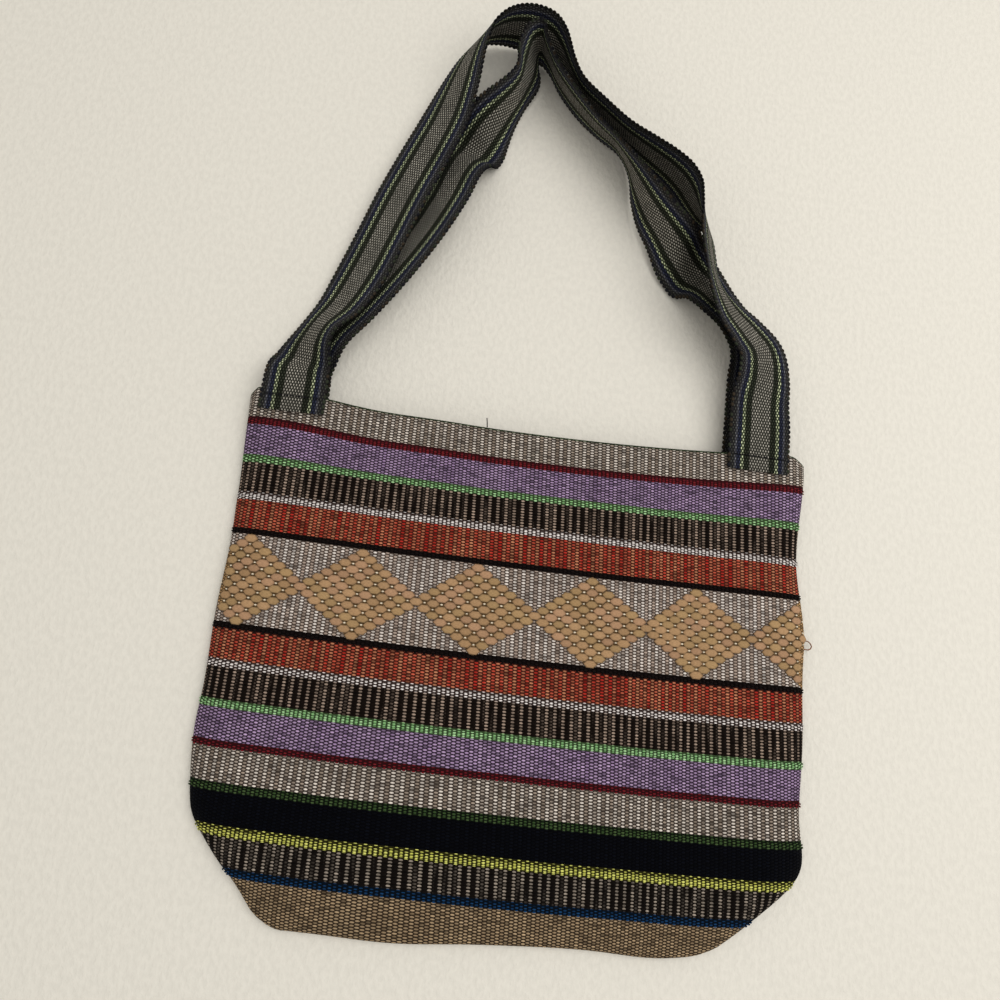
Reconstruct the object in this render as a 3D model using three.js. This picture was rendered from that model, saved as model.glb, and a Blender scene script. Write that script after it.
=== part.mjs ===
// A hand-woven shoulder bag lying on its back, with its two handles flopped out above the mouth.
// Millimetres, +Z up, +X along the mouth to the right, +Y from the base fold towards the handles.
// The origin is on the underside of the back panel, below the middle of the diamond band.
import * as THREE from "three";

// Cloth body
const BAG_WIDTH = 340;
const CLOTH = 2.2; // one layer of the cloth
const HEM = 2.8; // the turned and pressed hem at the mouth
const SEAM = 9; // seam allowance along the sides and the base
const CORNER = 46.5; // height up the side at which a boxed base corner begins
const CORNER_SLOPE = 1.17; // how far the corner runs in for each millimetre down
const CORNER_ROUNDING = 5; // softness of the bend between a side and its corner
const BASE_ROUNDING = 8; // the same between a corner and the base fold
const POCKET_GAP = 8; // how far the panels stand apart in the middle of the bag
const MOUTH_GAP = 5.2; // how far the hems stand apart at the mouth
const EDGE_HEIGHT = 4.8; // height of the folded sides and of the base fold
const MOUTH_SAG = 4.5; // how far the middle of the mouth dips below its corners, each way from the mean
const CLOTH_SAG = 1; // the same for the stripes further down
const SAG_DEPTH = 62; // distance from the mouth over which the dip dies out
const BASE_SKEW = 4.5; // how far the base fold runs off the line of the stripes, each way

// Handles
const HANDLE_WIDTH = 38;
const HANDLE_THICKNESS = 1.8;
const HANDLE_INSET = 10; // from the side of the bag to the edge of a handle
const HANDLE_TAB = 14.5; // how far a handle end reaches below the mouth
const HANDLE_REACH = 280; // from the mouth to the far end of the loop
const END_BANK = 2; // tilt of a front handle end towards the rounded corner of the mouth, degrees

// Stitching across the handle ends
const THREAD = 0.7; // thread diameter
const STITCHES = 9; // stitches across a handle end
const STITCH_MARGIN = 2.5; // from the edge of the handle to the first stitch
const STITCH_INSET = 8.7; // from the end of the handle to the row of stitches

// Fits
const CLEARANCE = 0.3;
const FLOOR_CLEARANCE = 0.2; // the handles clear the floor by this much, so that the bag rests on its back
const backSeat = THREAD + 2 * CLEARANCE; // height of the back handle's ends, with stitches beneath them

// Relief of the weave
const STRIPE_EDGE = 0.7; // half width of the slope between two stripes
const RIB_RISE = 0.6;
const DIAMOND_RISE = 0.9;
const DIAMOND_PITCH = 67.3;
const DIAMOND_OFFSET = 8.5; // from the middle of the bag to a diamond tip

// Stripes from the mouth to the base fold: width along the cloth and rise above the panel,
// and where the outline bends or the relief is fine, the rows that a stripe is cut into.
const ACCENT = 0.45;
const PLAIN = 0;
const MIRRORED = [
  { name: "grey", width: 17.1, rise: PLAIN },
  { name: "maroon", width: 4.1, rise: ACCENT },
  { name: "lavender", width: 16.3, rise: PLAIN },
  { name: "green", width: 4.9, rise: ACCENT },
  { name: "bars", width: 16.5, rise: PLAIN, ribs: true },
  { name: "white", width: 3.8, rise: ACCENT },
  { name: "orange", width: 16.4, rise: PLAIN },
  { name: "black", width: 3.4, rise: ACCENT },
];
const DIAMONDS = { name: "diamonds", width: 50.4, rise: PLAIN, diamonds: true, cuts: 6 };
const BASE_STRIPE = { name: "tan", width: 19, rise: PLAIN, cuts: 5 };
const STRIPES = [
  { name: "mouth_edge", width: 1.6, rise: PLAIN },
  ...MIRRORED,
  DIAMONDS,
  ...MIRRORED.toReversed(),
  { name: "dark_green", width: 4.4, rise: ACCENT },
  { name: "navy", width: 17.2, rise: PLAIN, cuts: 4 },
  { name: "yellow", width: 4.6, rise: ACCENT },
  { name: "base_bars", width: 15.8, rise: PLAIN, ribs: true, cuts: 3 },
  { name: "blue", width: 4.8, rise: ACCENT },
  BASE_STRIPE,
];

// Mesh fineness
const COLUMNS = 56;
const INNER_ROWS = 9;
const HANDLE_STEPS = 3; // rings of a handle between two points of its route
const HANDLE_STRIPS = 4; // strips across a handle

const sum = (stripes) => stripes.reduce((total, stripe) => total + stripe.width, 0);
const mouthY = sum(STRIPES.slice(0, STRIPES.indexOf(DIAMONDS))) + DIAMONDS.width / 2;
const baseY = mouthY - sum(STRIPES);
const mouthLift = backSeat + HANDLE_THICKNESS + CLEARANCE; // the hem rests on the back handle's ends
const mouthTop = mouthLift + 2 * HEM + MOUTH_GAP;
const bodyTop = 2 * CLOTH + POCKET_GAP;
const handleSpan = BAG_WIDTH / 2 - HANDLE_INSET - HANDLE_WIDTH / 2;

const clamp = THREE.MathUtils.clamp;
const smooth = (value, low, high) => THREE.MathUtils.smoothstep(value, low, high);
const radians = THREE.MathUtils.degToRad;

const fabric = (color) => new THREE.MeshStandardMaterial({ color, roughness: 0.92, metalness: 0 });

function meshOf(name, positions, triangles, material) {
  const geometry = new THREE.BufferGeometry();
  geometry.setAttribute("position", new THREE.Float32BufferAttribute(positions.flat(), 3));
  geometry.setIndex(triangles.flat());
  geometry.computeVertexNormals();
  const mesh = new THREE.Mesh(geometry, material);
  mesh.name = name;
  return mesh;
}

// A closed skin over rings of equally many points: quads between neighbouring rings and a cap at each end.
// A cap's flat shape is taken from two of its axes.
function skinOver(rings, capAxes) {
  const count = rings[0].length;
  const triangles = [];
  for (let ring = 0; ring + 1 < rings.length; ring++) {
    for (let i = 0; i < count; i++) {
      const a = ring * count + i;
      const b = ring * count + ((i + 1) % count);
      triangles.push([a, b, b + count], [a, b + count, a + count]);
    }
  }
  const first = rings[0].map((_, i) => i);
  const last = first.map((i) => (rings.length - 1) * count + i);
  for (const [ids, points, outward] of [
    [first, rings[0], -1],
    [last, rings.at(-1), 1],
  ]) {
    const flat = points.map((p) => new THREE.Vector2(p[capAxes[0]], p[capAxes[1]]));
    const turn = THREE.ShapeUtils.isClockWise(flat) ? -1 : 1;
    for (const [a, b, c] of THREE.ShapeUtils.triangulateShape(flat, [])) {
      const side = flat[b].clone().sub(flat[a]);
      const cross = side.cross(flat[c].clone().sub(flat[a]));
      const forward = Math.sign(cross) * turn * outward > 0;
      triangles.push(forward ? [ids[a], ids[b], ids[c]] : [ids[a], ids[c], ids[b]]);
    }
  }
  return { positions: rings.flat(), triangles };
}

// The body's plan: half width at a height up the cloth, and how the rows dip between the sides.
function halfWidth(y) {
  const up = y - baseY;
  const bend = CORNER_ROUNDING * Math.log1p(Math.exp((CORNER - up) / CORNER_ROUNDING));
  const turn = Math.max(0, 1 - up / BASE_ROUNDING) ** 2;
  return BAG_WIDTH / 2 - CORNER_SLOPE * bend - BASE_ROUNDING * turn;
}
const sagAt = (y) => CLOTH_SAG + (MOUTH_SAG - CLOTH_SAG) * smooth(y, mouthY - SAG_DEPTH, mouthY);
const skewAt = (y) => BASE_SKEW * (1 - smooth(y, baseY, baseY + BASE_STRIPE.width));
const rowY = (u, y) => y + sagAt(y) * (2 * u * u - 1) + skewAt(y) * u;

// Crown of the front panel: 0 on the folded sides and the base fold, 1 in the middle.
const LIFT_START = 60; // distance below the mouth at which the back panel leaves the floor
const LIFT_END = 20;
const CROWN_DEPTH = 95; // distance over which the panels part above the base fold
const liftAt = (y) => mouthLift * smooth(y, mouthY - LIFT_START, mouthY - LIFT_END);
const FLATNESS = 13; // the higher, the closer to the sides the front panel turns down
const crownAcross = (u) => Math.max(0, 1 - Math.abs(u) ** FLATNESS) ** 0.6;
const crownAlong = (y) => (1 - (1 - clamp((y - baseY) / CROWN_DEPTH, 0, 1)) ** 4) ** 0.6;
const topAt = (y) => THREE.MathUtils.lerp(bodyTop, mouthTop, smooth(y, mouthY - SAG_DEPTH, mouthY));
const layerAt = (y) => THREE.MathUtils.lerp(CLOTH, HEM, smooth(y, mouthY - LIFT_END, mouthY));
const edgeZ = (y) => liftAt(y) + EDGE_HEIGHT / 2;

const frontZ = (u, y) => {
  const edge = edgeZ(y) + (crownAcross(u) > 0 ? EDGE_HEIGHT / 2 : 0) * (1 - crownAlong(y));
  return edge + (topAt(y) - edge) * crownAcross(u) * crownAlong(y);
};
const BACK_FLAT = 0.92; // share of the half width that lies flat
const backZ = (u, y) => {
  if (Math.abs(u) <= BACK_FLAT) return liftAt(y);
  const out = (Math.abs(u) - BACK_FLAT) / (1 - BACK_FLAT);
  return liftAt(y) + (EDGE_HEIGHT / 2) * out ** 3;
};

// Relief of the weave on the front panel.
function diamondShare(x, y) {
  const along = (((x - DIAMOND_OFFSET) / DIAMOND_PITCH) % 1) + 1;
  const fromMiddle = Math.abs((along % 1) - 0.5) * 2;
  return Math.max(0, 1 - fromMiddle - Math.abs(y) / (DIAMONDS.width / 2));
}
function relief(stripe, column, x, y) {
  const rib = stripe.ribs && column % 2 ? RIB_RISE : 0;
  const diamond = stripe.diamonds ? DIAMOND_RISE * Math.min(1, 2.5 * diamondShare(x, y)) : 0;
  return stripe.rise + rib + diamond;
}

const FRONT_U = Array.from({ length: COLUMNS + 1 }, (_, i) => -1 + (2 * i) / COLUMNS);
const BACK_U = [0.985, 0.96, BACK_FLAT, 0.3, -0.3, -BACK_FLAT, -0.96, -0.985];

// One ring of the outer skin: the front panel from left to right, then the back panel from right to left.
function outerRing({ y, stripe }) {
  const front = FRONT_U.map((u, column) => {
    const x = u * halfWidth(y);
    const raised = Math.abs(u) < 1 ? relief(stripe, column, x, y) : 0;
    return [x, rowY(u, y), frontZ(u, y) + raised];
  });
  return [...front, ...BACK_U.map((u) => [u * halfWidth(y), rowY(u, y), backZ(u, y)])];
}

// One ring of the pocket, a layer of cloth inside the outer skin.
function innerRing(y) {
  const half = halfWidth(y) - SEAM;
  const layer = layerAt(y);
  const depth = crownAlong(y) * Math.min(1, (y - baseY) / CROWN_DEPTH);
  const front = FRONT_U.map((u) => {
    const shown = (u * half) / halfWidth(y);
    const rise = (frontZ(shown, y) - layer - edgeZ(y)) * Math.sqrt(1 - u ** 8) * Math.max(0.25, depth);
    return [u * half, rowY(u, y), edgeZ(y) + Math.max(0, rise)];
  });
  const flat = layer + liftAt(y);
  const edge = Math.min(flat, edgeZ(y) - CLEARANCE);
  const back = BACK_U.map((u) => [u * half, rowY(u, y), THREE.MathUtils.lerp(flat, edge, u ** 8)]);
  return [...front, ...back];
}

function bagBody() {
  const rows = [];
  let top = mouthY;
  for (const stripe of STRIPES) {
    const cuts = stripe.cuts ?? 1;
    const run = stripe.width - 2 * STRIPE_EDGE;
    for (let i = 0; i <= cuts; i++) rows.push({ y: top - STRIPE_EDGE - (run * i) / cuts, stripe });
    top -= stripe.width;
  }
  rows.at(-1).y = baseY;
  const outer = rows.reverse().map(outerRing);
  const pocketTop = mouthY - STRIPE_EDGE;
  const pocketBase = baseY + SEAM;
  const inner = Array.from({ length: INNER_ROWS + 1 }, (_, i) =>
    innerRing(THREE.MathUtils.lerp(pocketTop, pocketBase, (i / INNER_ROWS) ** 0.8)),
  );
  const rim = outer.at(-1).map((p, i) => {
    const q = inner[0][i];
    return [(p[0] + q[0]) / 2, (p[1] + q[1]) / 2 + STRIPE_EDGE, (p[2] + q[2]) / 2];
  });
  const { positions, triangles } = skinOver([...outer, rim, ...inner], [0, 2]);
  return meshOf("bag_body", positions, triangles, fabric(0x6f4f45));
}

// A handle is a flat band swept along points chosen by hand. Each point of a route is
// [across, along, bank, lift, seat]: across is a share of the handle span, along is a share
// of the reach above the mouth, bank is the tilt about the route in degrees (left edge up),
// lift is the height of the lower edge above the floor, and seat is the share of the front
// hem's height that the band still has there.
const FRONT_ROUTE = [
  [-1.03, 0.059, -7, 0.6, 0.8],
  [-1.023, 0.083, -17, 0.4, 0.3],
  [-1, 0.123, -36, 2.4, 0.1],
  [-0.962, 0.164, -41.5, 4, 0],
  [-0.897, 0.218, -32, 4, 0],
  [-0.839, 0.295, -25, 4.4, 0],
  [-0.781, 0.386, -24.5, 5.4, 0],
  [-0.716, 0.492, -24, 6.7, 0],
  [-0.643, 0.597, -24.5, 7.4, 0],
  [-0.581, 0.688, -28.5, 7.6, 0],
  [-0.543, 0.767, -39, 6.3, 0],
  [-0.515, 0.831, -50, 5.8, 0],
  [-0.488, 0.878, -57, 5.2, 0],
  [-0.455, 0.912, -63, 4.4, 0],
  [-0.407, 0.934, -71, 3.6, 0],
  [-0.35, 0.949, -80, 2.6, 0],
  [-0.283, 0.957, -89, 1.3, 0],
  [-0.213, 0.956, -95, 0.5, 0],
  [-0.146, 0.942, -97, 0.4, 0],
  [-0.097, 0.913, -95.5, 0.4, 0],
  [-0.059, 0.879, -90, 0.6, 0],
  [-0.02, 0.845, -83, 0.8, 0],
  [0.04, 0.805, -77, 0.8, 0],
  [0.14, 0.764, -75.5, 0.8, 0],
  [0.259, 0.717, -76, 0.6, 0],
  [0.363, 0.68, -82, 0.8, 0],
  [0.454, 0.648, -87, 1.2, 0],
  [0.523, 0.614, -91, 2, 0],
  [0.566, 0.576, -90, 3.5, 0],
  [0.601, 0.535, -79, 7.2, 0],
  [0.644, 0.493, -62, 11.8, 0],
  [0.668, 0.445, -57, 12, 0],
  [0.692, 0.394, -55.5, 11.6, 0],
  [0.731, 0.345, -47.5, 11.6, 0],
  [0.787, 0.303, -36, 11.8, 0],
  [0.865, 0.265, -28.5, 9.4, 0.2],
  [0.929, 0.223, -22.5, 7, 0.5],
  [0.952, 0.171, -17, 2.4, 0.78],
  [0.95, 0.118, -8, 0.6, 0.9],
  [0.952, 0.062, -3, 0, 0.98],
];
const BACK_ROUTE = [
  [-1.039, 0.065, -1, 0.2, 0],
  [-0.999, 0.108, -15, 0.4, 0],
  [-0.938, 0.155, -28, 0.9, 0],
  [-0.847, 0.215, -30, 1.4, 0],
  [-0.735, 0.302, -30, 2.4, 0],
  [-0.611, 0.408, -31, 3.6, 0],
  [-0.522, 0.502, -30, 4.8, 0],
  [-0.472, 0.565, -29, 4.8, 0],
  [-0.435, 0.609, -22, 4, 0],
  [-0.403, 0.65, -6, 2.8, 0],
  [-0.359, 0.69, 26, 1.9, 0],
  [-0.308, 0.733, 61, 2, 0],
  [-0.261, 0.788, 75, 3.4, 0],
  [-0.228, 0.851, 64, 4.6, 0],
  [-0.216, 0.898, 73, 4.2, 0],
  [-0.182, 0.919, 91, 2.8, 0],
  [-0.142, 0.891, 101, 1.6, 0],
  [-0.085, 0.841, 103, 0.8, 0],
  [0.006, 0.784, 104.5, 0.4, 0],
  [0.111, 0.731, 109, 0.6, 0],
  [0.207, 0.69, 112.5, 1.6, 0],
  [0.27, 0.642, 105.5, 2.2, 0],
  [0.333, 0.585, 89, 3.2, 0],
  [0.407, 0.531, 76, 4.2, 0],
  [0.485, 0.485, 65, 4.4, 0],
  [0.556, 0.448, 41, 2.6, 0],
  [0.626, 0.424, 16, 1.6, 0],
  [0.684, 0.397, -7, 1.3, 0],
  [0.745, 0.355, -20.5, 1, 0],
  [0.833, 0.305, -26.5, 0.6, 0],
  [0.918, 0.246, -18, 0.6, 0],
  [0.943, 0.174, -4, 0.2, 0],
];

// A point of a band's middle line from its plan, its bank and the height of its lower edge.
function bandPoint(x, y, bank, low) {
  const turn = radians(bank);
  const rise = (Math.abs(Math.sin(turn)) * HANDLE_WIDTH + Math.abs(Math.cos(turn)) * HANDLE_THICKNESS) / 2;
  return { place: new THREE.Vector3(x, y, low + rise), turn };
}

// A point of a sewn end, a distance in from the cut end of the band.
function sewnPoint({ route, seat, endBank }, right, inset) {
  const across = right ? route.at(-1)[0] : route[0][0];
  const y = mouthY + MOUTH_SAG - HANDLE_TAB + inset;
  return bandPoint(across * handleSpan, y, -endBank, seat);
}

// All points of a band from its left end to its right end.
function bandPoints(band) {
  const free = band.route.map(([across, along, bank, lift, seat]) => {
    const low = FLOOR_CLEARANCE + lift + seat * band.seat;
    return bandPoint(across * handleSpan, mouthY + along * HANDLE_REACH, bank, low);
  });
  const left = [0, HANDLE_TAB].map((inset) => sewnPoint(band, false, inset));
  const right = [HANDLE_TAB, 0].map((inset) => sewnPoint(band, true, inset));
  return [...left, ...free, ...right];
}

// One ring of a handle: a thin rectangle, cut into strips so that it bends evenly.
function bandRing(centre, heading, bank, strips) {
  const left = new THREE.Vector3(-heading.y, heading.x, 0).normalize();
  const across = left.multiplyScalar(Math.cos(bank)).add(new THREE.Vector3(0, 0, Math.sin(bank)));
  const up = new THREE.Vector3().crossVectors(heading, across).normalize();
  const at = (share, side) =>
    centre
      .clone()
      .addScaledVector(across, share * HANDLE_WIDTH)
      .addScaledVector(up, (side * HANDLE_THICKNESS) / 2)
      .toArray();
  const shares = Array.from({ length: strips + 1 }, (_, i) => i / strips - 0.5);
  return [...shares.map((share) => at(share, -1)), ...shares.toReversed().map((share) => at(share, 1))];
}

function handle(name, band, material) {
  const points = bandPoints(band);
  const path = new THREE.CatmullRomCurve3(points.map((p) => p.place), false, "catmullrom", 0.5);
  const turns = new THREE.CatmullRomCurve3(
    points.map((p) => new THREE.Vector3(p.turn, 0, 0)),
    false,
    "catmullrom",
    0.5,
  );
  const steps = (points.length - 1) * HANDLE_STEPS;
  const rings = Array.from({ length: steps + 1 }, (_, i) => {
    const heading = path.getTangent(i / steps).setZ(0).normalize();
    return bandRing(path.getPoint(i / steps), heading, turns.getPoint(i / steps).x, HANDLE_STRIPS);
  });
  const { positions, triangles } = skinOver(rings, [0, 2]);
  return meshOf(name, positions, triangles, material);
}

// A row of stitches across a sewn end: one thread along the band's face, thick at each stitch
// and thin between. It lies on the upper face for a side of 1 and under the band for -1.
function stitching(name, band, right, side, material) {
  const { place, turn } = sewnPoint(band, right, STITCH_INSET);
  const tilt = right ? -turn : turn;
  const across = new THREE.Vector3(Math.cos(tilt), 0, -Math.sin(tilt));
  const up = new THREE.Vector3(Math.sin(tilt), 0, Math.cos(tilt));
  const run = HANDLE_WIDTH - 2 * STITCH_MARGIN;
  const off = side * (HANDLE_THICKNESS / 2 + CLEARANCE + THREAD / 2);
  const rings = Array.from({ length: 2 * STITCHES + 1 }, (_, i) => {
    const half = (THREAD / 2) * (i % 2 ? 1 : 0.6);
    const middle = place
      .clone()
      .addScaledVector(across, run * (i / (2 * STITCHES) - 0.5))
      .addScaledVector(up, off);
    return [0, 1, 2, 3, 4, 5].map((corner) => {
      const angle = (corner * Math.PI) / 3;
      return middle
        .clone()
        .addScaledVector(up, half * Math.sin(angle))
        .add(new THREE.Vector3(0, half * Math.cos(angle), 0))
        .toArray();
    });
  });
  const { positions, triangles } = skinOver(rings, [1, 2]);
  return meshOf(name, positions, triangles, material);
}

const thread = fabric(0x17161a);
const webbing = fabric(0x4d4b48);
const endDrop = 0.5 * HANDLE_WIDTH * Math.sin(radians(END_BANK));
const FRONT = { route: FRONT_ROUTE, seat: mouthTop + CLEARANCE - endDrop, endBank: END_BANK };
const BACK = { route: BACK_ROUTE, seat: backSeat, endBank: 0 };
const group = new THREE.Group();
group.add(bagBody());
group.add(handle("front_handle", FRONT, webbing));
group.add(handle("back_handle", BACK, webbing));
group.add(stitching("front_left_stitching", FRONT, false, 1, thread));
group.add(stitching("front_right_stitching", FRONT, true, 1, thread));
group.add(stitching("back_left_stitching", BACK, false, -1, thread));
group.add(stitching("back_right_stitching", BACK, true, -1, thread));

export default group;
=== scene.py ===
"""A hand-woven striped shoulder bag lying on its back, its two handles flopped out above the mouth.

Sizes are millimetres in the frame of the part: +X along the mouth to the right, +Y from the base fold towards
the handles, +Z up. Meshes are written in metres.
"""

import logging
import math
from collections.abc import Callable
from dataclasses import dataclass, field
from enum import Enum

import bpy
import numpy as np
from mathutils import Matrix, Vector


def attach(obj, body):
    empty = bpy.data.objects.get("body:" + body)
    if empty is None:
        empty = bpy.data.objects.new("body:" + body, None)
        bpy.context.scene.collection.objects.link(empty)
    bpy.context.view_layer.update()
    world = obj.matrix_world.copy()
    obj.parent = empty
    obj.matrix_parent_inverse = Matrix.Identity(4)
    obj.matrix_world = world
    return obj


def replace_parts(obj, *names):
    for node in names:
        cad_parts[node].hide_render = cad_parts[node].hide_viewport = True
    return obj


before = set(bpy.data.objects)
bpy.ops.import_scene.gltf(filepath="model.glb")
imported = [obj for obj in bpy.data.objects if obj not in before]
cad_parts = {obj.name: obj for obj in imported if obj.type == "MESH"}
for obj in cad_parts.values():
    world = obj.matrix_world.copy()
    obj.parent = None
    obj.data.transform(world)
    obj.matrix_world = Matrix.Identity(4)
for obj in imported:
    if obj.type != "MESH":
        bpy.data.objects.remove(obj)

LOG = logging.getLogger("bag")
MM = 0.001
Look = tuple[int, int, int]  # a colour as it looks, 0 to 255 a channel
Colour = tuple[float, float, float, float]  # a colour in linear light, opaque
Ramp = tuple[float, float, float]  # an amount, and the two places between which it comes in
Point = tuple[float, float, float]
Array = np.ndarray
Socket = bpy.types.NodeSocket
Material = bpy.types.Material
Piece = bpy.types.Object


def shade(red: int, green: int, blue: int) -> Colour:
    """A colour given as it looks, 0 to 255 a channel.

    Args:
        red: Red as it looks.
        green: Green as it looks.
        blue: Blue as it looks.

    Returns:
        The same colour in linear light, opaque.
    """

    def channel(value: int) -> float:
        """One channel in linear light."""
        share = value / 255
        return share / 12.92 if share <= 0.04045 else ((share + 0.055) / 1.055) ** 2.4

    return channel(red), channel(green), channel(blue), 1.0


def smoothstep(value: Array, low: float, high: float) -> Array:
    """An even S-shaped rise from 0 at low to 1 at high."""
    share = np.clip((value - low) / (high - low), 0.0, 1.0)
    return share * share * (3 - 2 * share)


def ramps(value: Array, rises: tuple[Ramp, ...]) -> Array:
    """Several S-shaped rises added up."""
    return sum(amount * smoothstep(value, low, high) for amount, low, high in rises)


def unit(vectors: Array) -> Array:
    """The same directions, each with a length of 1."""
    return vectors / np.linalg.norm(vectors, axis=-1, keepdims=True)


def lengths(points: Array) -> Array:
    """Length along a line of points, from its start to each of them."""
    return np.concatenate([[0], np.cumsum(np.linalg.norm(np.diff(points, axis=0), axis=1))])


def between(spots: Array, run: Array, values: Array) -> Array:
    """Rows of values, known at the places in run, read off at other places."""
    return np.stack([np.interp(spots, run, column) for column in values.T], axis=-1)


def tube(rings: int, count: int) -> list[list[int]]:
    """Faces between rings of count points each, which are closed on themselves.

    Args:
        rings: Number of rings.
        count: Points of each ring.

    Returns:
        The faces as point numbers.
    """
    faces = []
    for low in range(0, (rings - 1) * count, count):
        for i in range(count):
            j = (i + 1) % count
            faces.append([low + i, low + j, low + count + j, low + count + i])
    return faces


class Weave(Enum):
    """How a stripe of the cloth is woven."""

    PLAIN = "dots of two yarns in turn"
    BARS = "dark ribs with ladders of pale dots between them"
    LINE = "a raised line of one yarn"
    BROCADE = "plain ground under the diamonds"


class Slot(Enum):
    """The finishes that the part's record lists."""

    CLOTH = "striped_cloth"
    WEBBING = "handle_webbing"
    THREAD = "thread"


class Side(Enum):
    """Which face of a band a row of stitches lies on."""

    ABOVE = 1
    BELOW = -1


@dataclass(frozen=True)
class Stripe:
    """One stripe of the cloth."""

    name: str  # what the stripe is called
    width: float  # width along the cloth, mm
    weave: Weave  # how it is woven
    first: Look  # colour of the even columns of dots
    second: Look  # colour of the odd columns of dots
    gap: Look  # colour between the dots
    order: float = 1.0  # how strictly the two yarns take turns from column to column
    reach: float = 0.52  # half a dot's size across, in columns
    fill: float = 0.36  # half a dot's size along, in rows

    def numbers(self) -> Colour:
        """The three numbers of the weave, kept like a colour."""
        return self.order, self.reach, self.fill, 1.0


LINE_DOT = {"reach": 0.4, "fill": 0.2}  # the cloth's own dots are small under a raised line
BAR_DOT = {"reach": 0.48, "fill": 0.38}
GREY = Stripe("grey", 17.1, Weave.PLAIN, (224, 213, 200), (152, 137, 122), (60, 51, 45), 0.9)
MAROON = Stripe("maroon", 4.1, Weave.LINE, (122, 34, 40), (104, 26, 34), (44, 14, 16), **LINE_DOT)
LAVENDER = Stripe("lavender", 16.3, Weave.PLAIN, (184, 157, 190), (154, 128, 162), (50, 38, 51), 0.4)
GREEN = Stripe("green", 4.9, Weave.LINE, (174, 218, 158), (138, 188, 124), (52, 70, 42), **LINE_DOT)
BARS = Stripe("bars", 16.5, Weave.BARS, (22, 15, 11), (158, 138, 122), (21, 14, 10), **BAR_DOT)
WHITE = Stripe("white", 3.8, Weave.LINE, (240, 232, 226), (226, 216, 210), (52, 40, 36), **LINE_DOT)
ORANGE = Stripe("orange", 16.4, Weave.PLAIN, (182, 49, 39), (184, 122, 89), (65, 27, 20), 0.65)
BLACK = Stripe("black", 3.4, Weave.LINE, (24, 14, 12), (20, 12, 11), (11, 6, 5), **LINE_DOT)
MIRRORED = (GREY, MAROON, LAVENDER, GREEN, BARS, WHITE, ORANGE, BLACK)
DIAMONDS = Stripe(
    "diamonds", 50.4, Weave.BROCADE, (226, 216, 206), (168, 150, 136), (76, 62, 54), 0.85, fill=0.4
)
BASE_STRIPE = Stripe("tan", 19, Weave.PLAIN, (180, 155, 121), (150, 127, 98), (50, 39, 29), 0.5)
STRIPES = (
    Stripe("mouth_edge", 1.6, Weave.PLAIN, (78, 92, 62), (62, 76, 50), (34, 43, 27)),
    *MIRRORED,
    DIAMONDS,
    *reversed(MIRRORED),
    Stripe("dark_green", 4.4, Weave.LINE, (72, 92, 54), (56, 78, 42), (13, 19, 10), **LINE_DOT),
    Stripe("navy", 17.2, Weave.PLAIN, (6, 8, 16), (3, 4, 10), (2, 2, 5)),
    Stripe("yellow", 4.6, Weave.LINE, (222, 222, 118), (204, 204, 96), (36, 34, 12), **LINE_DOT),
    Stripe("base_bars", 15.8, Weave.BARS, (20, 15, 12), (152, 140, 126), (18, 13, 10), **BAR_DOT),
    Stripe("blue", 4.8, Weave.LINE, (24, 64, 104), (18, 52, 88), (6, 14, 23), **LINE_DOT),
    BASE_STRIPE,
)
TANS = ((174, 139, 102), (168, 134, 97), (173, 136, 104), (167, 136, 96))  # the diamonds' floats
TIE_COLOUR = (232, 218, 192)
GROUND = (176, 140, 96)  # the cloth under the floats
GROUND_GAP = (92, 70, 44)
SELVEDGE = ((38, 35, 34), (56, 48, 38), (30, 30, 34), (50, 54, 42))
THREAD_COLOUR = (24, 22, 26)
BAND_LINES = (  # where a line of the band starts, as a share of its width, with its yarn and its gaps
    (0.0, (80, 80, 74), (33, 32, 32)),
    (0.08, (120, 120, 124), (52, 52, 56)),
    (0.115, (58, 62, 84), (24, 26, 36)),
    (0.18, (226, 234, 190), (58, 64, 46)),
    (0.238, (66, 69, 56), (23, 25, 18)),
    (0.335, (196, 190, 176), (52, 51, 45)),
)


@dataclass(frozen=True)
class WeaveGrid:
    """The grid of dots that the yarns make, mm."""

    row: float = 1.68  # distance between two dots of a column
    diamond_pitch: float = 67.3  # distance between two diamond tips
    diamond_offset: float = 8.5  # from the middle of the bag to a diamond tip
    diamond_columns: int = 28  # columns of dots between two tips
    floats_per_diamond: int = 7  # brocade floats between two tips
    diamond_rows: int = 7  # rows of floats on each side of the tips
    float_row: float = 3.3  # distance between two rows of floats

    @property
    def column(self) -> float:
        """Width of one column of dots."""
        return self.diamond_pitch / self.diamond_columns


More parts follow.
